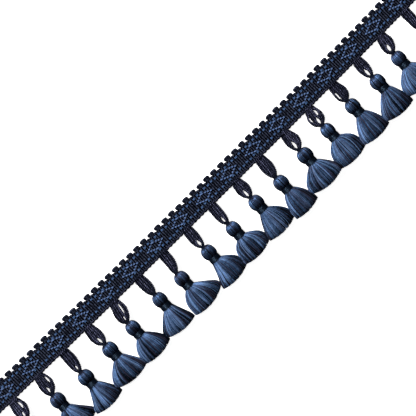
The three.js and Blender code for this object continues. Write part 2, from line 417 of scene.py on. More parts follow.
def float_tree():
    """A tree that sets a small arched bundle of threads on each point of a chart."""
    tree, given = begin_tree("Floats on a chart", {
        "Chart": "Geometry", "Length": "Distance", "Rise": "Distance", "Thread radius": "Distance",
        "Spacing": "Distance", "Threads": "Count", "Material": "Material",
    })

    def corner(x, y=0.0, z=0.0):
        """A vector of three readings or numbers."""
        return tree.node("ShaderNodeCombineXYZ", {"X": x, "Y": y, "Z": z})

    half, shoulder, top = given["Length"] * 0.5, given["Length"] * 0.42, given["Rise"] * 1.333
    arch = tree.node("GeometryNodeCurvePrimitiveBezierSegment", {
        "Resolution": 7,
        "Start": corner(half * -1.0),
        "Start Handle": corner(shoulder * -1.0, 0.0, top),
        "End Handle": corner(shoulder, 0.0, top),
        "End": corner(half),
    }, mode="POSITION")
    ring = tree.node("GeometryNodeCurvePrimitiveCircle", {
        "Resolution": 5, "Radius": given["Thread radius"],
    })
    thread = tree.node("GeometryNodeCurveToMesh", {
        "Curve": arch, "Profile Curve": ring, "Fill Caps": True,
    })
    middle = (given["Threads"] - 1.0) * given["Spacing"] * -0.5
    row = tree.node("GeometryNodeMeshLine", {
        "Count": given["Threads"], "Start Location": corner(0.0, middle),
        "Offset": corner(0.0, given["Spacing"]),
    })
    bundle = tree.node("GeometryNodeInstanceOnPoints", {"Points": row, "Instance": thread})
    real = tree.node("GeometryNodeRealizeInstances", {"Geometry": bundle})
    floats = tree.node("GeometryNodeInstanceOnPoints", {
        "Points": given["Chart"], "Instance": real,
        "Rotation": corner(0.0, 0.0, tree.named("slant")),
        "Scale": corner(tree.named("girth"), 1.0, 1.0),
    })
    return finish_tree(tree, floats, given["Material"])


def placed(name, data, material=None):
    """A new object with this mesh, lamp or camera, put into the scene."""
    made = bpy.data.objects.new(name, data)
    bpy.context.collection.objects.link(made)
    if material:
        data.materials.append(material)
    return made


def grown(name, source, tree, inputs):
    """The plain mesh object that a node tree makes from a source mesh."""
    made = placed(name, source)
    modifier = made.modifiers.new("Maker", "NODES")
    modifier.node_group = tree
    for item in tree.interface.items_tree:
        if item.in_out == "INPUT" and item.name in inputs:
            modifier[item.identifier] = inputs[item.name]
    depsgraph = bpy.context.evaluated_depsgraph_get()
    mesh = bpy.data.meshes.new_from_object(made.evaluated_get(depsgraph))
    made.modifiers.clear()
    made.data = mesh
    mesh.name = name
    return made


class Paths:
    """The paths of a piece's yarns, gathered into one mesh of loose edges."""

    def __init__(self, *marks):
        self.points = []
        self.edges = []
        self.values = {name: [] for name in ("girth", *marks)}

    def lay(self, path, girth=1.0, **marks):
        """Adds one path, its girth along it and the marks that its material or tree reads."""
        first = sum(map(len, self.points))
        count = len(path)
        self.points.append(np.asarray(path, float))
        steps = np.arange(first, first + count - 1)
        self.edges.append(np.stack([steps, steps + 1], 1))
        for name, value in {"girth": girth, **marks}.items():
            self.values[name].append(np.broadcast_to(value, count))

    def mesh(self, name):
        """The mesh of all paths, with their attributes."""
        mesh = bpy.data.meshes.new(name)
        mesh.from_pydata(np.concatenate(self.points), np.concatenate(self.edges), [])
        for key, parts in self.values.items():
            layer = mesh.attributes.new(key, "FLOAT", "POINT")
            layer.data.foreach_set("value", np.concatenate(parts).astype(np.float32))
        return mesh


def twined(name, paths, tree, material, thickness, plies=1, lay=1.0, sides=6):
    """Yarns or plied cords of this thickness along paths."""
    twist = 0.0 if plies == 1 else thickness / 4
    radius = thickness / 2 if plies == 1 else thickness / 3.8
    return grown(name, paths.mesh(name), tree, {
        "Yarn radius": radius, "Twist radius": twist, "Lay": lay, "Plies": plies,
        "Sides": sides, "Material": material,
    })


def joined(name, parts):
    """Several finished objects as one."""
    with bpy.context.temp_override(
        active_object=parts[0], selected_editable_objects=parts, object=parts[0]
    ):
        bpy.ops.object.join()
    parts[0].name = name
    return parts[0]


def seat(piece, slot, *nodes):
    """Fixes a finished piece to the trim, in place of its solids."""
    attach(piece, BODY)
    if nodes:
        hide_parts(*nodes)


# ---- materials


class Dye(Graph):
    """A material's nodes."""

    def __init__(self, name):
        self.material = bpy.data.materials.new(name)
        self.material.use_nodes = True
        super().__init__(self.material.node_tree)
        self.tree.nodes.clear()

    def attribute(self, name):
        """A number that the mesh carries."""
        return self.node("ShaderNodeAttribute", None, "Fac", attribute_name=name)

    def place(self):
        """Where a point lies in the trim."""
        return self.node("ShaderNodeTexCoord", None, "Object")

    def measured(self, axis):
        """How far along X, along Y or, for Z, above the table a point lies."""
        return self.node("ShaderNodeSeparateXYZ", {0: self.place()}, axis)

    def noise(self, scale):
        """Soft noise of this many features to the metre."""
        return self.node("ShaderNodeTexNoise", {"Vector": self.place(), "Scale": scale})

    def ramp(self, value, stops):
        """A colour ramp read at a value."""
        return self.node("ShaderNodeValToRGB", {"Fac": value}, stops=stops)

    def mix(self, share, first, second):
        """A blend of two colours."""
        return self.node("ShaderNodeMix", {0: share, 6: first, 7: second}, 2, data_type="RGBA")

    def bump(self, height, strength, distance):
        """A normal tilted by a height, where a height of one stands for this distance."""
        return self.node(
            "ShaderNodeBump", {"Height": height, "Strength": strength, "Distance": distance}
        )

    def finish(self, tone, roughness, normal, others):
        """Ends the material with its shader."""
        shader = self.node("ShaderNodeBsdfPrincipled", {
            "Base Color": tone, "Roughness": roughness, "Normal": normal, **others,
        })
        self.node("ShaderNodeOutputMaterial", {"Surface": shader})
        return self.material


def gloss(level, red, green):
    """The shader's fixed sockets for a highlight of this level, tinted towards blue."""
    return {"Specular IOR Level": level, "Specular Tint": (red, green, 1.0, 1)}


def twist_lines(dye, lay, turns):
    """Fine slanting fibres round a yarn, as a height."""
    along = dye.attribute("along")
    around = dye.attribute("around")
    return ((along * (1 / lay) + around * turns) * TAU).sine()


def gimp_material(settings):
    """Near-black wrapped gimp with a painted dull violet highlight on its highest crowns."""
    dye = Dye("gimp cord")
    wraps = twist_lines(dye, 0.34 * MM, 1.0)
    # painted highlight: only the ribs' highest crowns, by height above the table, take the glint
    # colour
    lit = dye.node("ShaderNodeMapRange", {
        "Value": dye.measured("Z"), "From Min": settings.weft_height + settings.weft * 0.29,
        "From Max": settings.weft_height + settings.weft * 0.46,
    })
    share = dye.ramp(dye.noise(1100) + wraps * 0.06, [(0.38, BLACK), (0.60, WHITE)])
    tone = dye.mix(share * lit * dye.attribute("wear"), settings.dark, settings.glint)
    normal = dye.bump(wraps + dye.noise(5200) * 0.6, 0.5, 0.05 * MM)
    return dye.finish(tone, dye.noise(1500) * 0.2 + 0.5, normal, gloss(0.04, 0.62, 0.70))


def ground_material(settings):
    """The plain close weave behind the ribs."""
    dye = Dye("ground cloth")
    across = dye.measured("Y") * (TAU / (0.7 * MM))
    along = dye.measured("X") * (TAU / RIB)
    height = across.sine() * along.sine()
    tone = dye.mix(height * 0.3 + 0.4, settings.dark, (0.004, 0.005, 0.010, 1))
    normal = dye.bump(height, 0.6, 0.12 * MM)
    return dye.finish(tone, dye.noise(1200) * 0.15 + 0.65, normal, gloss(0.03, 0.62, 0.70))


def float_material(name, tone):
    """Lustrous floats, a little uneven in shade."""
    dye = Dye(name)
    patch = dye.noise(700)
    tone = dye.mix(patch, tone, (0.064, 0.110, 0.225, 1))
    normal = dye.bump(dye.noise(6000), 0.4, 0.03 * MM)
    return dye.finish(tone, patch * 0.15 + 0.26, normal, gloss(0.15, 0.70, 0.85))


def cord_material(name, settings, thickness):
    """Dark twisted cord with a painted violet-grey highlight on its crowns."""
    dye = Dye(name)
    fibres = twist_lines(dye, 0.5 * MM, -2.0)
    # painted highlight: only the plies' crowns, by height above the cord's middle, take the glint
    # colour
    lit_crown = dye.node("ShaderNodeMapRange", {
        "Value": dye.measured("Z") - dye.attribute("level"),
        "From Min": thickness * 0.26, "From Max": thickness * 0.5,
    })
    share = dye.ramp(dye.noise(700), [(0.30, BLACK), (0.62, WHITE)])
    tone = dye.mix(share * lit_crown * dye.attribute("wear"), settings.dark, settings.glint)
    normal = dye.bump(fibres + dye.noise(5200) * 0.5, 0.5, 0.05 * MM)
    return dye.finish(tone, dye.noise(1700) * 0.2 + 0.36, normal, gloss(0.03, 0.66, 0.72))


def yarn_material(settings):
    """Lustrous tassel yarn in several blues, each strand with its own shade, which also carries
    painted shade and highlight.
    """
    dye = Dye("tassel yarn")
    patches = (dye.noise(170) - 0.5) * 0.7 + (dye.noise(1200) - 0.5) * 0.8
    blues = dye.ramp(dye.attribute("shade") + patches, [
        (0.0, settings.dark), (0.45, settings.middle), (1.0, settings.light),
    ])
    tone = dye.mix(dye.attribute("mauve"), blues, settings.mauve)
    fibres = twist_lines(dye, 0.9 * MM, 1.0)
    normal = dye.bump(fibres + dye.noise(4200) * 0.5, 0.3, 0.03 * MM)
    return dye.finish(tone, dye.noise(900) * 0.12 + 0.4, normal, {
        **gloss(0.2, 0.5, 0.72), "Metallic": dye.attribute("lustre"),
    })


def binding_material(settings):
    """The nearly black thread wound round the neck."""
    dye = Dye("binding thread")
    fibres = twist_lines(dye, 0.6 * MM, 1.0)
    tone = dye.mix(dye.noise(900), (0.001, 0.002, 0.004, 1), (0.004, 0.007, 0.015, 1))
    normal = dye.bump(fibres, 0.3, 0.03 * MM)
    return dye.finish(tone, dye.noise(1500) * 0.12 + 0.28, normal, gloss(0.33, 0.40, 0.66))


def floor_material(tone, glow):
    """Pale even paper."""
    dye = Dye("pale floor")
    paper = dye.mix(dye.noise(30), tone, (0.90, 0.90, 0.90, 1))
    return dye.finish(paper, 0.9, dye.bump(dye.noise(400), 0.02, 0.1 * MM), {
        "Specular IOR Level": 0.0, "Emission Color": WHITE, "Emission Strength": glow,
    })


# ---- heading


def squared(value, power):
    """A sine or cosine drawn towards 1 or -1, which makes a round bend squarer."""
    return np.sign(value) * np.abs(value) ** power


def turn_back(middle, start, rise):
    """The squared bend of the weft from one rib to the next."""
    angle = np.linspace(0, math.pi, 7)
    aside, beyond = squared(np.cos(angle), 0.6), squared(np.sin(angle), 0.6)
    return np.stack([middle - RIB / 2 * aside, start + rise * beyond], 1)


def picot(middle, reach):
    """The mushroom-shaped bend of the weft that stands beyond the upper edge."""
    angle = np.radians(np.linspace(200, -20, 11))
    aside, beyond = squared(np.cos(angle), 0.75), squared(np.sin(angle), 0.75)
    head = np.stack([middle + PICOT_HALF_WIDTH * aside, reach + PICOT_HALF_HEIGHT * beyond], 1)
    start, end = [middle - PICOT_NECK, PICOT_ROOT], [middle + PICOT_NECK, PICOT_ROOT]
    return np.concatenate([[start], head, [end]])


def warp_is_over(rib, row):
    """Whether a warp thread passes over this rib; it goes under the ribs on both sides."""
    return (rib + row) % 2 == 0


class Weft:
    """One long cord, laid bend by bend, with its girth and its share of painted glint along it."""

    def __init__(self):
        self.parts = []

    def add(self, points, girth=1.05, wear=0.6):
        """Goes on through these points of the straight band."""
        count = len(points)
        marks = np.broadcast_to(girth, count), np.broadcast_to(wear, count)
        self.parts.append(np.column_stack([points, *marks]))

    def add_rib(self, rib, direction):
        """Crosses the band, up for 1 or down for -1, pinched where a warp passes over."""
        swell = np.where(warp_is_over(rib, np.arange(len(WARP_ROWS))), 0.88, 1.06)
        x = np.full(len(WARP_ROWS), (rib + 0.5) * RIB)
        self.add(np.stack([x, WARP_ROWS], 1)[::direction], swell[::direction], 1.0)

    def add_lower_turn(self, rib):
        """Turns back at the lower edge, under the chain."""
        # the lower turns take little of the painted glint, so they look darker
        self.add(turn_back(rib * RIB, LOWER_TURN, -0.8 * MM), wear=0.15)

    def lay(self, paths, height):
        """Lays the whole cord at this height."""
        x, y, girth, wear = np.concatenate(self.parts).T
        paths.lay(laid(path_at(x, y, height)), girth, wear=wear)


def weft_paths(height):
    """The gimp weft, to and fro with a picot at every second upper turn, and what fills those."""
    weft = Weft()
    paths = Paths("wear")
    chance = np.random.default_rng(WEFT_SEED)
    for rib in range(FIRST_RIB, FIRST_RIB + RIBS, RIBS_PER_PICOT):
        weft.add_rib(rib, 1)
        middle = (rib + 1.14) * RIB + chance.uniform(-0.12, 0.12) * MM
        reach = chance.uniform(*PICOT_REACH)
        bend = picot(middle, reach)
        # painted highlight: the picot's outer crest takes more glint than its neck
        lit_crest = smooth((bend[:, 1] - reach + 0.1 * MM) / (0.7 * MM))
        weft.add(bend, PICOT_GIRTH, 0.1 + chance.uniform(0.3, 1.0) * lit_crest)
        weft.add_rib(rib + 1, -1)
        weft.add_lower_turn(rib + 2)
        weft.add_rib(rib + 2, 1)
        weft.add(turn_back((rib + 3) * RIB, UPPER_TURN, 0.5 * MM))
        weft.add_rib(rib + 3, -1)
        if rib + RIBS_PER_PICOT < FIRST_RIB + RIBS:
            weft.add_lower_turn(rib + RIBS_PER_PICOT)
        filling = [[middle, y, height] for y in (5.4 * MM, 6.4 * MM, reach + 0.35 * MM)]
        paths.lay(laid(filling), FILLING_GIRTH, wear=0.3)
    weft.lay(paths, height)
    return paths


def warp_paths(settings):
    """The dark threads that run along the band, over and under single ribs."""
    paths = Paths("wear")
    steps = np.arange(2 * RIBS)
    x = (FIRST_RIB + 0.5 + steps / 2) * RIB
    for row, y in enumerate(WARP_ROWS):
        over = np.where(warp_is_over(FIRST_RIB + steps // 2, row), 1, -1)
        rise = np.where(steps % 2 == 0, over, 0) * settings.weft / 2 * 0.9
        paths.lay(laid(path_at(x, y, settings.weft_height + rise)), wear=0.5)
    return paths


def border_chart(height):
    """Where the border floats sit: one on each pair of ribs, stepping up and down by turns."""
    chart = Paths("slant")
    for pair in range(FIRST_RIB // 2, (FIRST_RIB + RIBS) // 2 + 1):
        for y in BORDERS:
            step = BORDER_STEP if pair % 2 else -BORDER_STEP
            chart.lay(laid([[pair * 2 * RIB - 0.1 * MM, y + step, height]]), slant=0.0)
    return chart


def diamond_chart(height):
    """Where the diamonds' floats sit."""
    chart = Paths("slant")
    for repeat in range(-TASSELS // 2, TASSELS // 2):
        middle = repeat * REPEAT + DIAMOND_MIDDLE[0]
        for ribs, rise, length in DIAMOND:
            for side in (-1, 1) if ribs else (1,):
                place = [middle + side * ribs * RIB, DIAMOND_MIDDLE[1] + rise * MM, height]
                slant = DIAMOND_LEAN
                if ribs:
                    slant -= side * np.sign(rise) * DIAMOND_SLANT
                chart.lay(laid([place]), length, slant=slant)
    return chart


def tube_faces(rings, sides, way=1):
    """The faces of a tube of rings, with both ends closed; way is -1 for the other side out."""
    faces = []
    for band in range(rings - 1):
        for corner in range(sides):
            a = band * sides + corner
            b = band * sides + (corner + 1) % sides
            faces.append((a, *(b, b + sides, a + sides)[::way]))
    faces.append(tuple(range(sides))[::-way])
    faces.append(tuple(range((rings - 1) * sides, rings * sides))[::way])
    return faces


def ground_mesh():
    """The flat cloth behind the ribs: a thin closed slab with rounded long edges."""
    half = BAND_HALF_WIDTH - 0.35 * MM
    top = 0.6 * MM
    edge = [(-half, 0.0), (-half - 0.2 * MM, top / 2), (-half, top)]
    outline = [(y, 0.0) for y in np.linspace(half, -half, 9)]
    outline += edge[1:] + [(y, top) for y in np.linspace(-half, half, 9)[1:]]
    outline += [(half + 0.2 * MM, top / 2)]
    stations = np.linspace(-BAND_HALF_LENGTH, BAND_HALF_LENGTH, 185)
    points = [[station, y, z] for station in stations for y, z in outline]
    mesh = bpy.data.meshes.new("heading_ground")
    mesh.from_pydata(laid(points), [], tube_faces(len(stations), len(outline)))
    return mesh


# ---- measuring the solids


class Solid:
    """A node of the frame, cut across to find how wide and high it is."""

    def __init__(self, name):
        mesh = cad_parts[name].data
        places = np.array([v.co for v in mesh.vertices])
        ends = np.array([e.vertices for e in mesh.edges])
        self.starts = places[ends[:, 0]]
        self.ends = places[ends[:, 1]]
        self.low, self.high = (np.array(corner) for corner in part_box(name))

    def cut(self, y):
        """The lowest and highest x and z of the solid at this y."""
        before, after = self.starts[:, 1] - y, self.ends[:, 1] - y
        crossing = (before * after <= 0) & (np.abs(before - after) > 1e-9)
        start, end = self.starts[crossing], self.ends[crossing]
        share = (y - start[:, 1:2]) / (end - start)[:, 1:2]
        met = start + share * (end - start)
        return met[:, 0].min(), met[:, 0].max(), met[:, 2].min(), met[:, 2].max()


class Tassel:
    """Where one tassel's head, neck and skirt lie, read from its solids."""

    def __init__(self, index):
        self.index = index
        ring = Solid(numbered("binding", index))
        hank = Solid(numbered("hank", index))
        self.x = (ring.low[0] + ring.high[0]) / 2
        self.y = ring.high[1] + NECK_TOP
        left, right, low, high = hank.cut(self.y)
        self.head = (right - left) / 2
        self.axis = (low + high) / 2
        self.hem = self.y - hank.low[1]
        self.left = self.half_widths(hank, -1)
        self.right = self.half_widths(hank, 1)
        self.left_lap = self.lap(index - 1, index)
        self.right_lap = self.lap(index, index + 1)

    def lap(self, left, right):
        """Whether two neighbours' corners meet, and how much this one's is raised over the other."""
        if left < 1 or right > TASSELS:
            return False, 0.0
        left_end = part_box(numbered("hank", left))[1][0]
        right_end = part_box(numbered("hank", right))[0][0]
        meets = right_end - left_end < 0.8 * MM
        on_top = self.index == (left if left in RIGHT_OVER else right)
        return meets, LAP_LIFT if meets and on_top else 0.0

    def round_axis(self, radius, angle, rise):
        """Points round the axis of head and neck, from numbers along them or single numbers."""
        return path_at(
            self.x + radius * np.cos(angle), self.y + rise, self.axis + radius * np.sin(angle)
        )

    def half_widths(self, hank, side):
        """The reach of the skirt to one side and how soon it swells to it."""
        column = 1 if side > 0 else 0
        full = side * ((hank.high if side > 0 else hank.low)[0] - self.x)
        share, middle = 0.36, 0.8 * full
        for _ in range(8):
            y = self.y - self.depth(share) + self.rounding(share, middle)
            middle = side * (hank.cut(y)[column] - self.x)
        swollen = min(0.98, (middle - NECK_HALF_WIDTH) / (full - NECK_HALF_WIDTH))
        return full, math.log(1 - swollen) / math.log(1 - share)

    def depth(self, share):
        """How far below the head's middle the skirt is at a share of its length."""
        return blend(SKIRT_TOP, self.hem, share)

    def rounding(self, share, aside):
        """How much higher the skirt's level is at its sides, which makes the hem round."""
        return share * (self.hem - np.sqrt(np.maximum(self.hem**2 - aside**2, 0)))

    def reach(self, aside, share):
        """Half width of the skirt on the side that aside points to."""
        left, left_bell = self.left
        right, right_bell = self.right
        full = np.where(aside > 0, right, left)
        bell = np.where(aside > 0, right_bell, left_bell)
        pinch = 0.3 * MM * np.clip((3.6 - bell) / 1.5, 0, 1)
        reach = NECK_HALF_WIDTH + (full - NECK_HALF_WIDTH) * (1 - (1 - share) ** bell)
        return reach - pinch * np.sin(math.pi * np.clip(share * 1.3, 0, 1))


# ---- tassels


def waves(chance, counts):
    """A smooth random value round a head or skirt, from waves of several counts."""
    phases = chance.uniform(0, TAU, len(counts))
    return lambda angle: np.mean([math.sin(n * angle + p) for n, p in zip(counts, phases)]) * 1.4


def head_paths(tassel, settings, chance, paths):
    """Yarns drawn from the eye over the head and down into the neck."""
    rise = np.linspace(4.75, -3.9, 12) * MM
    stretch = np.where(rise > 0, HEAD_CROWN, HEAD_CHIN)
    round_off = np.clip(1 - (rise / stretch) ** 2, 0, 1) ** 0.46
    # painted shade: the head's lower half and its top by the eye are darker, and its yarns start
    # from a lower shade than the skirt's
    painted_shade = 0.24 * smooth(-rise / (2.6 * MM)) + 0.3 * smooth((rise - 2.8 * MM) / (1.6 * MM))
    tone = waves(chance, (5, 11, 17, 29))
    for index in range(settings.cover):
        angle = TAU * (index + chance.uniform(-0.3, 0.3)) / settings.cover
        turned = angle + chance.uniform(-0.10, 0.10) * np.linspace(0, 1, len(rise))
        radius = (tassel.head + 0.12 * MM) * round_off * (1 + chance.uniform(-0.015, 0.01))
        path = tassel.round_axis(radius, turned, rise)
        path[:, 2] = np.maximum(path[:, 2], 0.23 * MM)
        paths.lay(
            path, girth=np.clip(radius / tassel.head * 1.15, 0.35, 1.1),
            shade=0.25 + 0.22 * tone(angle) + chance.uniform(-0.09, 0.09) - painted_shade,
            mauve=chance.uniform(0, 0.3), lustre=0.8,
        )


def skirt_strand(tassel, angle, length, start, steps, inset, sway=0.0):
    """The path of one yarn of the skirt, from the binding to the trimmed hem."""
    share = np.linspace(start, 1, steps) * length
    angle = angle + sway * share**2
    side = np.cos(angle)
    wide = tassel.reach(side, np.minimum(share, 1)) + 0.28 * MM * np.sin(share * 2.6)
    aside = wide * inset * side
    swell = 0.5 * MM * np.sin(math.pi * np.clip(share * 2.2, 0, 1))
    droop = 0.9 * MM * smooth((share - 0.82) / 0.2)
    top = blend(tassel.axis + 3.1 * MM, HEM_THICKNESS, share**2) + swell - droop
    low = blend(tassel.axis - 3.2 * MM, 0.0, np.clip(share / 0.3, 0, 1))
    half = (top - low) / 2 * inset - 0.16 * MM
    meets, raised = tassel.right_lap if side[0] > 0 else tassel.left_lap
    corner = smooth((np.abs(side) - 0.5) * 2) * smooth(share * 1.5 - 0.5)
    lift = np.maximum((top + low) / 2 + half * np.sin(angle) + raised * corner, 0.2 * MM)
    if meets:
        aside = aside + side * LAP_REACH * corner
    depth = tassel.depth(share) + 0.2 * MM * share - 0.5 * MM * (1 - share)
    y = tassel.y - depth + tassel.rounding(share, aside) * 0.85
    return path_at(tassel.x + aside, y, lift)


class Skirt:
    """The yarns of one skirt, whose locks and shades drift round it in waves."""

    def __init__(self, tassel, settings, chance):
        self.tassel = tassel
        self.settings = settings
        self.chance = chance
        self.broad = waves(chance, (3, 5, 9))
        self.tone = waves(chance, (19, 37, 53))
        self.dull = waves(chance, (23, 41, 67))
        self.lock = waves(chance, (17, 33))
        self.drift = waves(chance, (7, 15))
        self.shadow = waves(chance, (1, 2, 4))
        self.threes = chance.uniform(-0.42, 0.42, settings.strands // 3 + 1)

    def shade(self, index, angle):
        """How light a yarn is; three neighbours at a time share a part of their shade."""
        # painted shade: the yarns at the skirt's edges and on its right side are darker
        edge = smooth((abs(math.cos(angle)) - 0.78) * 5)
        shade = 0.40 + 0.32 * self.broad(angle) + 0.25 * self.tone(angle)
        shade += self.threes[index // 3] + self.chance.uniform(-0.15, 0.15)
        return shade - 0.15 * edge - 0.08 * math.cos(angle)

    def path(self, angle):
        """The course of an outer yarn, drawn in or out with its lock."""
        length = 1.02 + self.chance.uniform(-0.006, 0.005)
        inset = 0.99 + 0.06 * self.lock(angle) + self.chance.uniform(-0.03, 0.02)
        sway = 0.08 * self.drift(angle) + self.chance.uniform(-0.02, 0.02)
        turned = angle + 0.03 * self.lock(angle + 0.1)
        return skirt_strand(
            self.tassel, turned, length, 0.0, 9, float(np.clip(inset, 0.93, 1.02)), sway
        )

    def painted_light(self, angle, along):
        """How much painted highlight or shade a yarn gets on its way down to the hem."""
        aside = math.cos(angle)
        # painted highlight below the neck; painted shade at the hem, low down on one side, at the
        # upper left and at the lower right
        belly_highlight = 0.17 * np.sin(math.pi * np.clip(along / 0.65, 0, 1))
        hem = 0.28 * smooth((along - 0.9) / 0.1)
        side_shadow = 0.28 * max(0, self.shadow(angle)) * smooth(along * 1.2)
        upper_left_shade = 0.26 * smooth(-2 * aside) * (1 - smooth(along * 2.6))
        lower_right_shade = 0.4 * smooth((aside - 0.3) * 1.6) * smooth(along * 1.6)
        return belly_highlight - hem - side_shadow - upper_left_shade - lower_right_shade

    def lay_outside(self, paths):
        """Lays the yarns that are seen from outside."""
        for index in range(self.settings.strands):
            place = index + self.chance.uniform(-0.35, 0.35)
            angle = TAU * place / self.settings.strands
            shade = self.shade(index, angle)
            path = self.path(angle)
            along = np.linspace(0, 1, len(path))
            shade = blend(0.34, shade, blend(0.6, 1.0, smooth(along * 1.6)))
            mauve = self.dull(angle) * 1.4 - 0.1 + self.chance.uniform(-0.25, 0.25)
            paths.lay(
                path, blend(0.75, 1.0, along), shade=shade + self.painted_light(angle, along),
                mauve=np.clip(mauve, 0, 0.6), lustre=0.32,
            )

    def lay_inside(self, paths):
        """Lays the yarns that fill the skirt, seen at its hem and between the locks."""
        for _ in range(self.settings.fill):
            angle = self.chance.uniform(0, TAU)
            inset = math.sqrt(self.chance.uniform(0.2, 0.86))
            length = 1.015 + self.chance.uniform(-0.01, 0)
            path = skirt_strand(self.tassel, angle, length, 0.3, 5, inset)
            # painted shade: the filling yarns are kept dark inside the skirt
            paths.lay(path, shade=self.chance.uniform(0.0, 0.35), mauve=0.0, lustre=0.2)


def shade_core_mesh(tassel):
    """A closed form inside head and skirt, which keeps light from passing through; its dark colour
    is painted shade between the locks.
    """
    rings, sides = [], 24
    angle = np.arange(sides) * TAU / sides
    for rise in np.linspace(3.6, -3.4, 6) * MM:
        stretch = HEAD_CROWN if rise > 0 else HEAD_CHIN
        radius = (tassel.head - 0.35 * MM) * math.sqrt(1 - (rise / stretch) ** 2)
        rings.append(tassel.round_axis(radius, angle, rise))
    strands = [skirt_strand(tassel, turn, 0.97, 0.0, 7, 0.88) for turn in angle]
    rings.extend(np.array(strands).transpose(1, 0, 2))
    mesh = bpy.data.meshes.new("core")
    mesh.from_pydata(np.concatenate(rings), [], tube_faces(len(rings), sides, -1))
    for key in ("girth", "shade", "mauve", "along", "around"):
        mesh.attributes.new(key, "FLOAT", "POINT")
    lustre = mesh.attributes.new("lustre", "FLOAT", "POINT")
    lustre.data.foreach_set("value", np.ones(len(mesh.vertices), np.float32))
    return mesh


def binding_path(tassel, settings):
    """The thread wound closely round the neck."""
    steps = np.linspace(0, 1, BINDING_TURNS * 16 + 1)
    radius = BINDING_RADIUS - settings.binding / 2
    rise = -blend(BINDING_TOP, BINDING_END, steps)
    return tassel.round_axis(radius, steps * BINDING_TURNS * TAU, rise)


# ---- loops


class Loop:
    """Where one loop's cords may run, read from its solid."""

    def __init__(self, index):
        self.solid = Solid(numbered("loop", index))
        self.tassel = Tassel(index)
        self.openings = [Opening(*row) for tassel, *row in OPENINGS if tassel == index]
        self.start = self.solid.high[1]
        self.end = self.solid.low[1]

    def lane(self, share):
        """The middle and half width of the bundle of cords at a share of the loop's length."""
        y = blend(self.start, self.end, share)
        within = min(max(y, self.end + 0.05 * MM), self.start - 0.05 * MM)
        left, right, _, _ = self.solid.cut(within)
        half = (right - left) / 2 + 0.25 * MM * math.sin(share * 4.2)
        return (left + right) / 2, half

    def places(self, settings):
        """Where the cords lie across the bundle, from -1 at the left to 1 at the right."""
        widest = max(self.lane(share)[1] for share in (0.1, 0.4, 0.6)) - settings.cord / 2
        on_top = math.ceil(2 * widest / settings.pitch) + 1
        return np.linspace(-1, 1, 2 * on_top - 1)

    def gap(self, opening):
        """The middle of an opening, aside from the middle of the bundle."""
        middle, _ = self.lane(opening.along)
        root, _ = self.lane(0.02)
        return blend(root, self.tassel.x, opening.along) + opening.aside * MM - middle

    def bundle(self, y, share, radius):
        """The middle of the bundle and how far the outermost cords' middles are from it."""
        middle, half = self.lane(share)
        over_head = max(0, self.tassel.y + 5.6 * MM - y)
        return middle, max(half + 0.3 * MM, 1.35 * MM - over_head * 0.15) - radius

    def height(self, y, share, half, on_top):
        """How high a cord runs: over the heading's edge, down to the tassel, up onto its head."""
        packed = smooth(1.2 - half / (3.4 * MM))
        over = smooth((HEADING_EDGE - y) / (2.2 * MM))
        onto = smooth((self.tassel.y + 5.2 * MM - y) / (1.6 * MM))
        lying = blend(CORD_ON_TABLE, self.tassel.axis, max(0, share))
        layer = (1 if on_top else -1) * blend(0.35, 0.6, packed) * MM
        return blend(CORD_OVER_EDGE, lying, over) + CORD_ONTO_HEAD * onto + layer

    def push(self, offset, share, opening, side, radius):
        """Where a cord runs at this share so that it stays on its side of an opening."""
        past = (share + 0.005 - opening.along) * (self.start - self.end)
        reach = past / (opening.length * MM * (0.53 if past > 0 else 0.6))
        if abs(reach) >= 1:
            return offset
        clear = opening.width * MM * 0.54 * math.sqrt(1 - reach**2) + radius
        edge = self.gap(opening) + side * clear
        return max(offset, edge) if side > 0 else min(offset, edge)

    def cord(self, place, on_top, settings, chance):
        """The path of one cord, from under the heading to its end in the eye of the head."""
        radius = settings.cord / 2
        wander = chance.uniform(-0.05, 0.05)
        sides = [
            1 if place * self.lane(opening.along)[1] > self.gap(opening) else -1
            for opening in self.openings
        ]
        ys = np.linspace(chance.uniform(-5.0, -4.2) * MM, self.tassel.y + 3.9 * MM, 60)
        xs, zs = [], []
        for y in ys:
            share = (y - self.start) / (self.end - self.start)
            middle, half = self.bundle(y, share, radius)
            offset = half * (place + wander * math.sin(share * 5))
            for opening, side in zip(self.openings, sides):
                offset = self.push(offset, share, opening, side, radius)
            xs.append(middle + offset)
            zs.append(self.height(y, share, half, on_top))
        slack = np.convolve(np.pad(xs, 4, "edge"), np.ones(9) / 9, "valid")
        # painted shade: the outer cords and the under cords take less glint, and the glint fades out
        # towards the head's eye; each cord also has a random share
        tone = (1.0 - 0.6 * abs(place) ** 3 if on_top else 0.1) * chance.uniform(0.3, 1.0)
        wear = tone * smooth((ys - self.tassel.y - 4.6 * MM) / (5.0 * MM))
        return path_at(slack, ys, zs), wear


# ---- operators


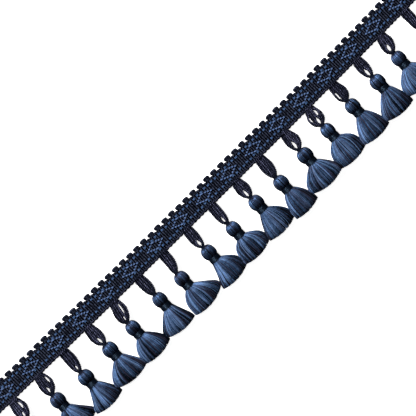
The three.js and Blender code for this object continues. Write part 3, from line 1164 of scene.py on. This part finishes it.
class FRINGE_OT_stage(bpy.types.Operator):
    """Make the pale floor, the soft lights and the camera."""

    bl_idname = "fringe.stage"
    bl_label = "Stage"

    def execute(self, context):
        settings = context.scene.fringe_stage
        self.make_floor(settings)
        self.make_room(context, settings)
        self.make_key(settings)
        self.make_camera(context, settings)
        return {"FINISHED"}

    def make_floor(self, settings):
        """Lays the floor, whose glow only the camera sees."""
        reach = 3.0
        corners = [(-reach, -reach, 0), (reach, -reach, 0), (reach, reach, 0), (-reach, reach, 0)]
        mesh = bpy.data.meshes.new("floor")
        mesh.from_pydata(corners, [], [(0, 1, 2, 3)])
        floor = placed("floor", mesh, floor_material(settings.floor, settings.glow))
        floor.visible_glossy = False
        floor.visible_diffuse = False

    def make_room(self, context, settings):
        """Fills the room with soft white light."""
        world = bpy.data.worlds.new("soft room")
        world.use_nodes = True
        background = world.node_tree.nodes["Background"]
        background.inputs["Color"].default_value = WHITE
        background.inputs["Strength"].default_value = settings.room
        context.scene.world = world

    def make_key(self, settings):
        """Hangs the key light beyond the upper edge, aimed at the trim's middle."""
        lamp = bpy.data.lights.new("key light", "AREA")
        lamp.energy = settings.key
        lamp.size = 0.7
        key = placed("key light", lamp)
        key.location = KEY_PLACE
        key.rotation_euler = (-key.location).to_track_quat("-Z", "Y").to_euler()

    def make_camera(self, context, settings):
        """Looks straight down at the trim."""
        data = bpy.data.cameras.new("camera")
        data.lens = 130
        camera = placed("camera", data)
        x, y, z = VIEW_MIDDLE
        camera.location = (x, y, z + settings.view_width * data.lens / data.sensor_width)
        camera.rotation_euler = (0, 0, -settings.view_turn)
        context.scene.camera = camera


class FRINGE_OT_heading(bpy.types.Operator):
    """Weave the heading: ground cloth, gimp ribs with picots, warps, floats and lower chain."""

    bl_idname = "fringe.heading"
    bl_label = "Heading"

    def execute(self, context):
        settings = context.scene.fringe_heading
        yarns = yarn_tree()
        gimp = gimp_material(settings)
        ground = placed("heading_ground", ground_mesh(), ground_material(settings))
        weft = twined(
            "heading_weft", weft_paths(settings.weft_height), yarns, gimp, settings.weft, sides=7
        )
        warps = twined(
            "heading_warps", warp_paths(settings), yarns, gimp, settings.warp, sides=4
        )
        floats = self.make_floats(settings)
        chain = self.make_chain(settings, yarns, context)
        details = [weft, warps, floats, chain]
        for piece in details:
            seat(piece, "heading_gimp")
        seat(ground, "heading_gimp", "heading")
        return {"FINISHED"}

    def make_floats(self, settings):
        """Sets the blue floats of the borders and the diamonds on the ribs."""
        tree = float_tree()
        blue = float_material("border float thread", settings.blue)
        pale = float_material("diamond float thread", settings.pale)
        height = settings.weft_height
        common = {
            "Rise": 0.86 * MM, "Thread radius": settings.float_thread / 2,
            "Spacing": settings.float_thread * 1.06,
        }
        border = grown("borders", border_chart(height).mesh("chart"), tree, {
            **common, "Length": 1.75 * MM, "Threads": 3, "Material": blue,
        })
        diamonds = grown("diamonds", diamond_chart(height).mesh("chart"), tree, {
            **common, "Length": 1.0 * MM, "Threads": 2, "Material": pale,
            "Thread radius": settings.float_thread * 0.8,
        })
        return joined("heading_floats", [border, diamonds])

    def make_chain(self, settings, yarns, context):
        """Lays the fine cord that covers the weft's lower turns."""
        paths = Paths("wear", "level")
        along = np.arange(-BAND_HALF_LENGTH + MM, BAND_HALF_LENGTH - MM, 0.3 * MM)
        wave = 0.08 * MM * np.sin(along * TAU / (2 * RIB))
        height = settings.weft_height + settings.weft / 2
        paths.lay(laid(path_at(along, CHAIN_PLACE + wave, height)), wear=0.8, level=height)
        cord = cord_material("chain cord", context.scene.fringe_loops, settings.chain)
        return twined("heading_chain", paths, yarns, cord, settings.chain, 2, 1.6 * MM, 5)


class FRINGE_OT_loops(bpy.types.Operator):
    """Twist the cords of the loops that carry the tassels."""

    bl_idname = "fringe.loops"
    bl_label = "Loops"

    def execute(self, context):
        settings = context.scene.fringe_loops
        yarns = yarn_tree()
        cord = cord_material("loop cord", settings, settings.cord)
        for index in range(1, TASSELS + 1):
            chance = np.random.default_rng(LOOP_SEED + index)
            loop = Loop(index)
            paths = Paths("wear", "level")
            for order, place in enumerate(loop.places(settings)):
                on_top = order % 2 == 0
                path, wear = loop.cord(place, on_top, settings, chance)
                paths.lay(path, 1.0 if on_top else 1.4, wear=wear, level=path[:, 2])
            name = numbered("loop_cords", index)
            piece = twined(name, paths, yarns, cord, settings.cord, 2, settings.lay, 4)
            seat(piece, "loop_cord", numbered("loop", index))
        return {"FINISHED"}


class FRINGE_OT_hanks(bpy.types.Operator):
    """Lay the yarns of the heads and skirts round their cores."""

    bl_idname = "fringe.hanks"
    bl_label = "Hanks"

    def execute(self, context):
        settings = context.scene.fringe_tassels
        yarns = yarn_tree()
        yarn = yarn_material(settings)
        for index in range(1, TASSELS + 1):
            chance = np.random.default_rng(HANK_SEED + index)
            tassel = Tassel(index)
            paths = Paths("shade", "mauve", "lustre")
            skirt = Skirt(tassel, settings, chance)
            skirt.lay_outside(paths)
            skirt.lay_inside(paths)
            head_paths(tassel, settings, chance, paths)
            name = numbered("hank_yarn", index)
            piece = twined(name, paths, yarns, yarn, settings.strand, sides=4)
            piece = joined(name, [piece, placed("core", shade_core_mesh(tassel), yarn)])
            seat(piece, "tassel_yarn", numbered("hank", index))
        return {"FINISHED"}


class FRINGE_OT_bindings(bpy.types.Operator):
    """Wind the binding thread round each neck."""

    bl_idname = "fringe.bindings"
    bl_label = "Bindings"

    def execute(self, context):
        settings = context.scene.fringe_tassels
        yarns = yarn_tree()
        thread = binding_material(settings)
        for index in range(1, TASSELS + 1):
            paths = Paths()
            paths.lay(binding_path(Tassel(index), settings))
            name = numbered("binding_thread", index)
            piece = twined(name, paths, yarns, thread, settings.binding)
            seat(piece, "binding_thread", numbered("binding", index))
        return {"FINISHED"}


OPERATORS = (
    FRINGE_OT_stage, FRINGE_OT_heading, FRINGE_OT_loops, FRINGE_OT_hanks, FRINGE_OT_bindings,
)


class FRINGE_PT_panel(bpy.types.Panel):
    """The fringe's settings and operators."""

    bl_idname = "FRINGE_PT_panel"
    bl_label = "Tassel Fringe Trim"
    bl_space_type = "VIEW_3D"
    bl_region_type = "UI"
    bl_category = "Fringe"

    def draw(self, context):
        for name, group in SETTINGS.items():
            box = self.layout.box()
            for key in group.__annotations__:
                box.prop(getattr(context.scene, name), key)
        for operator in OPERATORS:
            self.layout.operator(operator.bl_idname)


CLASSES = (*SETTINGS.values(), *OPERATORS, FRINGE_PT_panel)


def register():
    """Makes the settings, operators and panel known to Blender."""
    for known in CLASSES:
        bpy.utils.register_class(known)
    for name, group in SETTINGS.items():
        setattr(bpy.types.Scene, name, PointerProperty(type=group))


def unregister():
    """Takes the settings, operators and panel away again."""
    for name in SETTINGS:
        delattr(bpy.types.Scene, name)
    for known in reversed(CLASSES):
        bpy.utils.unregister_class(known)


def main():
    """Makes the whole trim on its stage."""
    register()
    bpy.context.scene.view_settings.view_transform = "Standard"
    for operator in OPERATORS:
        getattr(bpy.ops.fringe, operator.bl_idname.split(".")[1])()


if __name__ == "__main__":
    main()
